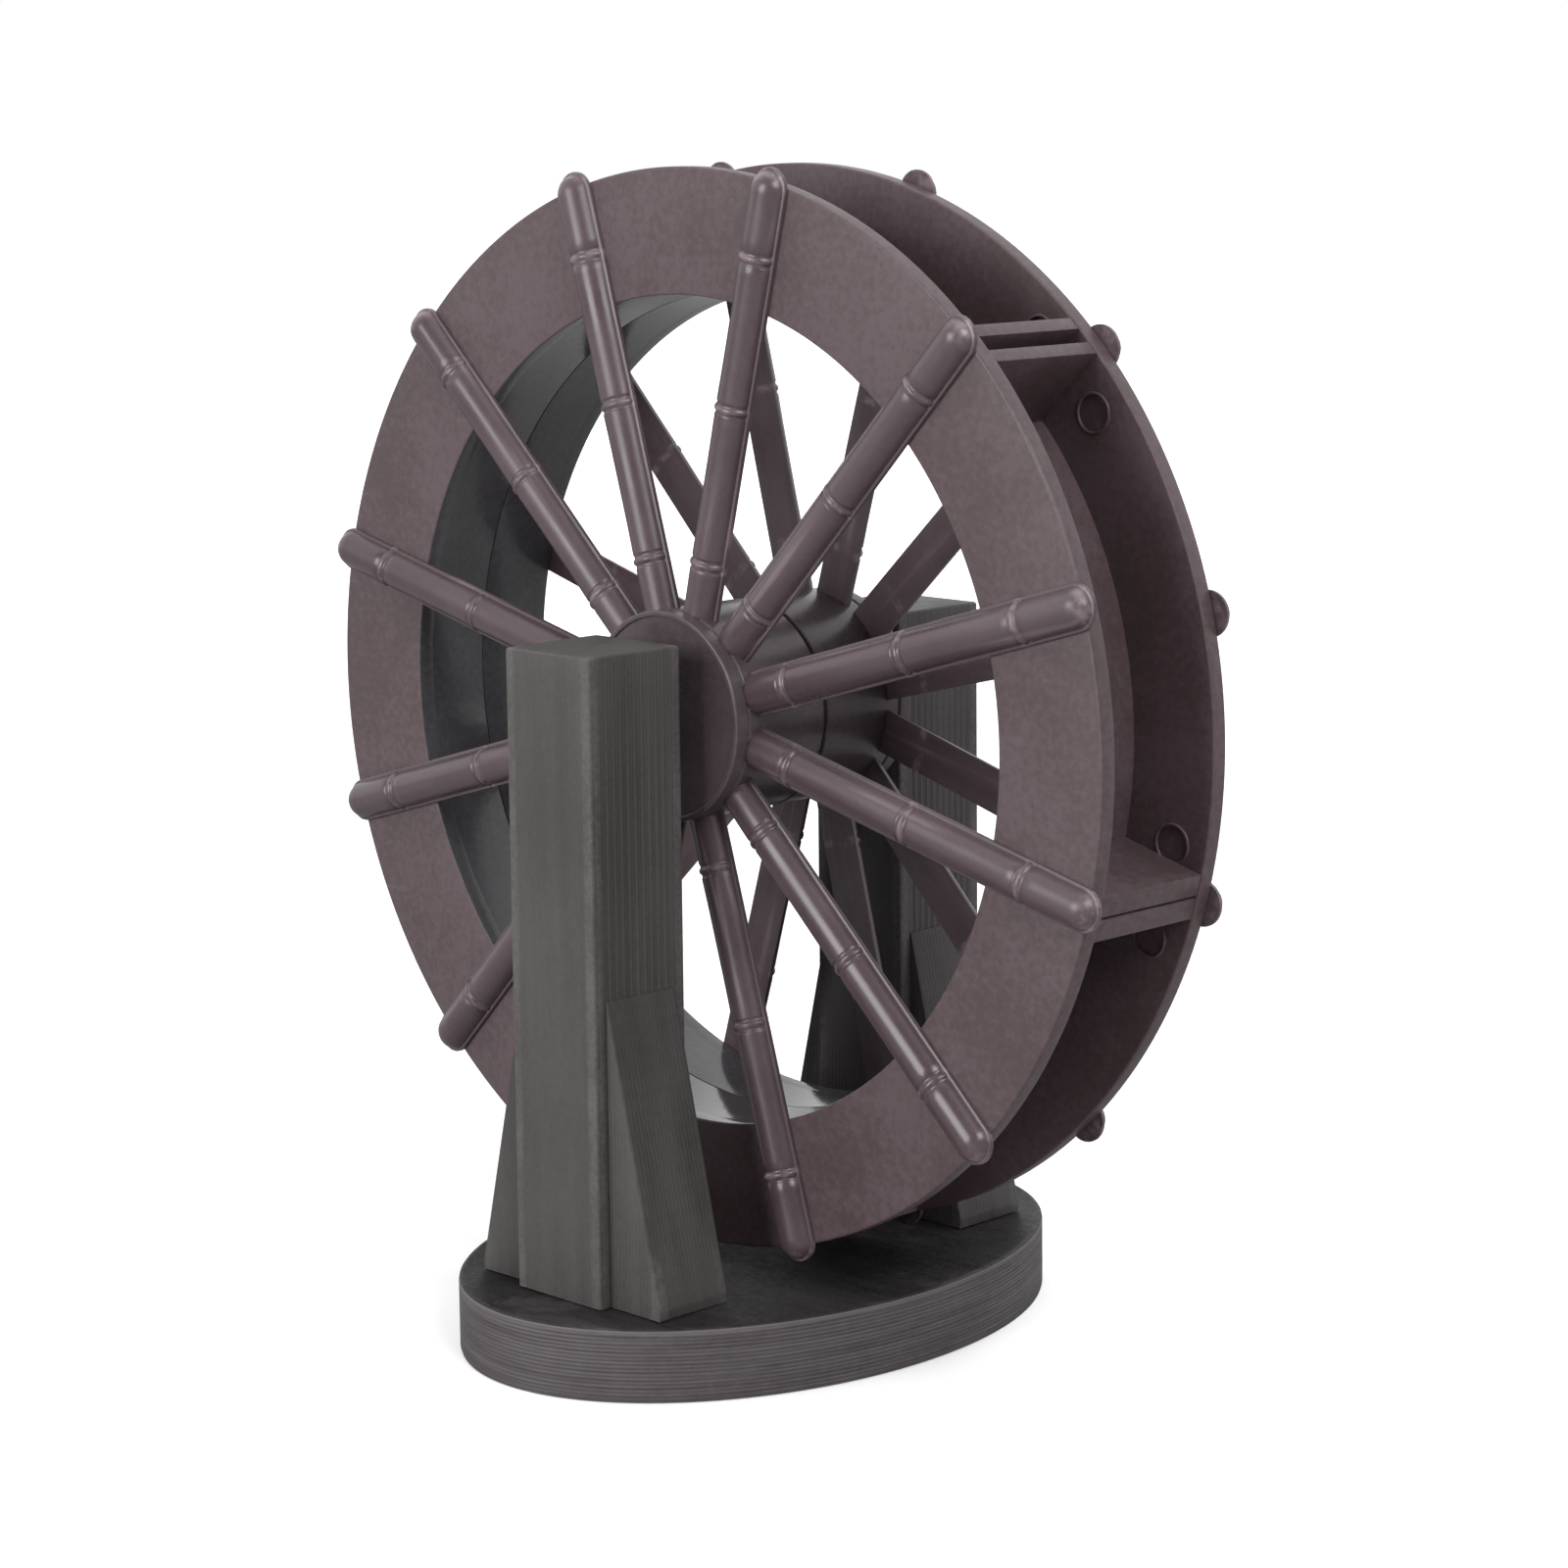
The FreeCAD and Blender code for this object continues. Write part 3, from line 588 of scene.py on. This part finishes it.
def spoke_stations():
    """Distances along a spoke, close together at the rings and the domed tip."""
    start, dome = HUB_R - 0.6 * MM, SPOKE_TIP - SPOKE_R
    stations = {start, dome}
    r = start
    while r < dome:
        stations.add(r)
        r += 2.5 * MM
    for node in NODES:
        for k in range(-10, 11):
            stations.add(node + k * 0.12 * MM)
    for k in range(1, 9):
        stations.add(dome + SPOKE_R * math.sin(k / 8 * math.pi / 2))
    return sorted(s for s in stations if start <= s <= SPOKE_TIP)


def strip_outline(bm, start, centre, radius, z_low, thickness):
    """Thin strip with one round end and softened upper edges."""
    outline = [(start, -radius), (centre, -radius)]
    for k in range(1, 16):
        a = -math.pi / 2 + math.pi * k / 16
        outline.append((centre + radius * math.cos(a), radius * math.sin(a)))
    outline += [(centre, radius), (start, radius)]
    levels = [
        (0.0, 0.0), (0.0, thickness - 0.22 * MM),
        (0.06 * MM, thickness - 0.08 * MM), (0.22 * MM, thickness),
    ]
    rings = []
    for inset, height in levels:
        ring = []
        for x, y in outline:
            if x > centre:
                direction = Vector((x - centre, y)).normalized()
                x, y = x - direction.x * inset, y - direction.y * inset
            else:
                y -= math.copysign(inset, y)
            ring.append(bm.verts.new((x, y, z_low + height)))
        rings.append(ring)
    stack_rings(bm, rings)


def build_spoke(side, number):
    """Half-round bar on a thin flange, with ring nodes and a domed tip."""
    bm = bmesh.new()
    around = 18
    rows = []
    for r in spoke_stations():
        height = max(spoke_profile(r), 0.02 * MM)
        row = []
        for k in range(around + 1):
            a = math.pi * k / around
            row.append(bm.verts.new((r, height * math.cos(a), PLATE_OUT + height * math.sin(a))))
        rows.append(row)
    for row, following in zip(rows, rows[1:]):
        for k in range(around):
            bm.faces.new((row[k], row[k + 1], following[k + 1], following[k]))
        bm.faces.new((row[around], row[0], following[0], following[around]))
    bm.faces.new(rows[0])
    bm.faces.new(list(reversed(rows[-1])))
    strip_outline(bm, HUB_R - 0.4 * MM, SPOKE_TIP - SPOKE_R, SPOKE_R + FLANGE,
                  PLATE_OUT + 0.002 * MM, FLANGE_T)
    place = wheel_matrix(side, (number - 1) * math.pi / 6, TWIST)
    bmesh.ops.transform(bm, matrix=place, verts=bm.verts)
    node_name = f"{side}_spoke_{number:02d}"
    finish_mesh(f"moulded_{node_name}", bm, SPOKE, "wheel", node_name, 38.0)


def build_board(side, number):
    """Flat bucket board with soft edges, one of a pair."""
    is_open = number in OPEN_PAIRS
    thick = (2.3 if is_open else 3.4) * MM
    gap = (2.6 if is_open else 0.4) * MM
    bm = bmesh.new()
    inner = (DRUM_OUT - 0.2 * MM, gap / 2, -PLATE_IN)
    outer = (RIM - 0.2 * MM, gap / 2 + thick, PLATE_IN)
    box_mesh(bm, inner, outer, 0.22 * MM)
    place = wheel_matrix(side, (number - 1) * math.pi / 3, 0.0)
    bmesh.ops.transform(bm, matrix=place, verts=bm.verts)
    node = f"{side}_bucket_board_{number}"
    finish_mesh(f"moulded_{node}", bm, WHEEL, "wheel", node)


# ------------------------------------------------------------------ the stand
def build_post(side, material):
    """Square post with upright ridges on its left and right faces and softly rounded edges."""
    node = f"{side}_post"
    low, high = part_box(node)
    centre = (low + high) / 2
    half = (high.x - low.x) / 2
    square = [(-half, -half), (half, -half), (half, half), (-half, half)]
    corners = fillet_loop(square, 0.45 * MM, 4)
    plain = 2.4 * MM
    samples = 12
    ridge_count = int(samples * (2 * half - 2 * plain) / RIDGE_PITCH) + 1
    ridges = [-half + plain + RIDGE_PITCH * k / samples for k in range(ridge_count)]
    outline = corners[:10] + [(half, y) for y in ridges] + corners[10:] + [(-half, -y) for y in ridges]
    soft = 0.45 * MM
    rows = [(0.0, low.z + (high.z - soft - low.z) * k / 24) for k in range(25)]
    for k in range(1, 5):
        turn = k / 4 * math.pi / 2
        rows.append((soft - soft * math.cos(turn), high.z - soft + soft * math.sin(turn)))
    bm = bmesh.new()
    stack = []
    for inset, z in rows:
        shrink = 1 - inset / half
        depth = RIDGE_DEPTH * min(1.0, max(0.15, (high.z - 4 * MM - z) / (22 * MM)))
        ring = []
        for x, y in outline:
            if abs(abs(x) - half) < 1e-6 and abs(y) < half - plain + RIDGE_PITCH / 2:
                fade = min(1.0, (half - plain + RIDGE_PITCH / 2 - abs(y)) / RIDGE_PITCH)
                turn = 2 * math.pi * y / RIDGE_PITCH
                wave = 0.5 - 0.35 * math.cos(turn) - 0.15 * math.cos(2 * turn + 1.0)
                x -= math.copysign(depth * fade * wave, x)
            ring.append(bm.verts.new((centre.x + x * shrink, centre.y + y * shrink, z)))
        stack.append(ring)
    stack_rings(bm, stack)
    finish_mesh(f"square_{node}", bm, material, "stand", node, 15.0)


def build_brace(side, hand, material):
    """Sloped wedge against a post, with softly rounded sloping edges."""
    node = f"{side}_{hand}_brace"
    low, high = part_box(node)
    outward = 1 if hand == "right" else -1
    wall = low.x if outward > 0 else high.x
    reach = high.x - low.x
    bm = bmesh.new()
    profile = [
        (0.0, BASE_TOP), (reach, BASE_TOP), (reach, BASE_TOP + 1.6 * MM),
        (0.1 * MM, high.z), (0.0, high.z),
    ]
    profile = fillet_loop(profile, [0, 0.1 * MM, 1.2 * MM, 0, 0], 3)
    sides = []
    for y in (low.y, high.y):
        sides.append([bm.verts.new((wall + outward * x, y, z)) for x, z in profile])
    count = len(profile)
    for i in range(count):
        j = (i + 1) % count
        bm.faces.new((sides[0][i], sides[0][j], sides[1][j], sides[1][i]))
    bm.faces.new(list(reversed(sides[0])))
    bm.faces.new(sides[1])
    bmesh.ops.recalc_face_normals(bm, faces=bm.faces)
    edges = [e for e in bm.edges if abs(e.verts[0].co.y - e.verts[1].co.y) < 1e-6
             and min(v.co.z for v in e.verts) > BASE_TOP + 0.01 * MM
             and max(abs(v.co.x - wall) for v in e.verts) > 0.3 * MM]
    bmesh.ops.bevel(bm, geom=edges, offset=0.4 * MM, segments=3, profile=0.5, affect="EDGES")
    finish_mesh(f"wedge_{node}", bm, material, "stand", node)


def build_base():
    """Oval base with a soft, slightly raised rim round its top."""
    top = BASE_TOP / MM
    profile = [(0.6, 0.0), (0.15, 0.12), (0.0, 0.6)]
    levels = [0.6 + k * 0.9 for k in range(1, 11)]
    profile += [(0.0, z) for z in levels if z < top - 0.8]
    profile += [
        (0.0, top - 0.7), (0.06, top - 0.35), (0.25, top - 0.1),
        (0.55, top), (0.95, top), (1.3, top - RIM_LIP_MM),
    ]
    bm = bmesh.new()
    rings = []
    for inset, z in profile:
        across, along = base_high.x - inset * MM, base_high.y - inset * MM
        ring = []
        for k in range(BASE_SEGMENTS):
            a = 2 * math.pi * k / BASE_SEGMENTS
            ring.append(bm.verts.new((across * math.cos(a), along * math.sin(a), z * MM)))
        rings.append(ring)
    stack_rings(bm, rings)
    finish_mesh("oval_base", bm, BASE, "stand", "base_plate")


def build_support(side):
    """One post and its two braces, each with a material that knows where its upright edges are."""
    low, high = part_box(f"{side}_post")
    middle = (low + high) / 2
    half = (high.x - low.x) / 2
    material = printed_plastic(f"{side}_post_plastic", *POST_GREY, (0.0, middle.y), (half, half))
    build_post(side, material)
    for hand in ("left", "right"):
        low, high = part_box(f"{side}_{hand}_brace")
        half_y = (high.y - low.y) / 2
        reach = high.x if hand == "right" else -low.x
        name = f"{side}_{hand}_brace_plastic"
        # the braces' darker grey is painted shade
        material = printed_plastic(name, *BRACE_SHADED_GREY, (0.0, middle.y), (reach, half_y))
        build_brace(side, hand, material)


for side in ("front", "rear"):
    build_side_plate(side)
    build_drum_half(side)
    build_hub_half(side)
    for number in range(1, SPOKES + 1):
        build_spoke(side, number)
    for number in range(1, PAIRS + 1):
        build_board(side, number)
    build_support(side)
build_base()

# the pin, the spacers and the screws keep their CAD shape and only get a material
cad_looks = {"axle_pin": STEEL, "front_spacer": SPACER, "rear_spacer": SPACER,
             "front_post_screw": SCREW, "rear_post_screw": SCREW}
for node, material in cad_looks.items():
    for slot in frame["nodes"][node].material_slots:
        slot.material = material

# ------------------------------------------------------------------ floor, light and camera
# The floor and the world look brighter to the camera than they light the object, for a white surround.
FLOOR_LIGHTING_GREY = 0.34
FLOOR_SEEN = (0.90, 0.92)
WHITE = (1.0, 1.0, 1.0, 1.0)
BRIGHT_SIDE = (-0.71, 0.70, 0.10)
AIM = (0, 0, 0.09)
bm = bmesh.new()
bmesh.ops.create_grid(bm, x_segments=1, y_segments=1, size=6.0)
floor_mesh = bpy.data.meshes.new("floor")
bm.to_mesh(floor_mesh)
bm.free()
floor = bpy.data.objects.new("floor", floor_mesh)
bpy.context.scene.collection.objects.link(floor)
paper = Shader("floor_paper")
seen_directly = paper.add("ShaderNodeLightPath").outputs["Is Camera Ray"]
pale_paper = paper.mix(paper.ramp(paper.noise(3.0), 0.3, 0.7), *((tone,) * 3 for tone in FLOOR_SEEN))
paper.base(paper.mix(seen_directly, (FLOOR_LIGHTING_GREY,) * 3, pale_paper))
paper.rough(0.85)
distant = paper.add("ShaderNodeVectorMath")
distant.operation = "LENGTH"
paper.link(paper.coords, distant.inputs[0])
glow = paper.ramp(distant.outputs["Value"], 0.1, 1.2, 0.22, 0.75)
paper.set("Emission Color", WHITE)
paper.link(paper.math("MULTIPLY", glow, seen_directly), paper.bsdf.inputs["Emission Strength"])
floor_mesh.materials.append(paper.material)

world = bpy.data.worlds.new("studio")
bpy.context.scene.world = world
world.use_nodes = True
tree = world.node_tree
tree.nodes.clear()


def world_node(kind, **inputs):
    """A node in the world's tree, with its inputs set by name."""
    node = tree.nodes.new(kind)
    for name, value in inputs.items():
        node.inputs[name].default_value = value
    return node


# a white studio: bright behind the object, dimmer on the side that the front faces see
sky = world_node("ShaderNodeTexCoord")
facing = world_node("ShaderNodeVectorMath")
facing.operation = "DOT_PRODUCT"
facing.inputs[1].default_value = BRIGHT_SIDE
tree.links.new(sky.outputs["Generated"], facing.inputs[0])
fade = tree.nodes.new("ShaderNodeMapRange")
fade.interpolation_type = "SMOOTHSTEP"
for name, value in (("From Min", -0.45), ("From Max", 0.35), ("To Min", 0.17), ("To Max", 1.15)):
    fade.inputs[name].default_value = value
tree.links.new(facing.outputs["Value"], fade.inputs["Value"])
lighting = world_node("ShaderNodeBackground", Color=WHITE)
tree.links.new(fade.outputs["Result"], lighting.inputs["Strength"])
seen = world_node("ShaderNodeBackground", Color=WHITE, Strength=1.0)
ray = tree.nodes.new("ShaderNodeLightPath")
choose = tree.nodes.new("ShaderNodeMixShader")
tree.links.new(ray.outputs["Is Camera Ray"], choose.inputs["Fac"])
tree.links.new(lighting.outputs[0], choose.inputs[1])
tree.links.new(seen.outputs[0], choose.inputs[2])
world_out = tree.nodes.new("ShaderNodeOutputWorld")
tree.links.new(choose.outputs[0], world_out.inputs["Surface"])


def soft_light(name, position, target, size, power):
    """Square soft lamp of the given side length in metres, aimed at a point."""
    data = bpy.data.lights.new(name, "AREA")
    data.shape = "RECTANGLE"
    data.size = data.size_y = size
    data.energy = power
    lamp = bpy.data.objects.new(name, data)
    lamp.location = position
    direction = Vector(target) - Vector(position)
    lamp.rotation_euler = direction.to_track_quat("-Z", "Y").to_euler()
    bpy.context.scene.collection.objects.link(lamp)


soft_light("key", (-0.22, -1.55, 0.55), AIM, 0.9, 19.0)
soft_light("overhead", (0.1, 0.1, 1.5), (0, 0, 0.1), 1.2, 3.5)
soft_light("right", (1.15, -0.30, 1.00), AIM, 0.7, 13.0)

AZIMUTH, ELEVATION, ROLL = math.radians(45.471), math.radians(8.876), math.radians(-0.682)
DISTANCE = 7.3229 * RIM
FOCAL = 2.490125  # focal length in picture widths
SENSOR_WIDTH = 36.0
SHIFT_X, SHIFT_Y = 0.02105, -0.0520
ca, sa = math.cos(AZIMUTH), math.sin(AZIMUTH)
ce, se = math.cos(ELEVATION), math.sin(ELEVATION)
right = Vector((ca, sa, 0))
forward = Vector((-sa * ce, ca * ce, -se))
upward = right.cross(forward)
cam_right = right * math.cos(ROLL) + upward * math.sin(ROLL)
cam_up = upward * math.cos(ROLL) - right * math.sin(ROLL)
camera_data = bpy.data.cameras.new("camera")
camera_data.sensor_width = SENSOR_WIDTH
camera_data.lens = FOCAL * SENSOR_WIDTH
camera_data.shift_x = SHIFT_X
camera_data.shift_y = SHIFT_Y
camera = bpy.data.objects.new("camera", camera_data)
camera_turn = Matrix((cam_right, cam_up, -forward)).transposed().to_4x4()
camera.matrix_world = Matrix.Translation(AXLE - forward * DISTANCE) @ camera_turn
bpy.context.scene.collection.objects.link(camera)
bpy.context.scene.camera = camera
bpy.context.scene.view_settings.view_transform = "Standard"
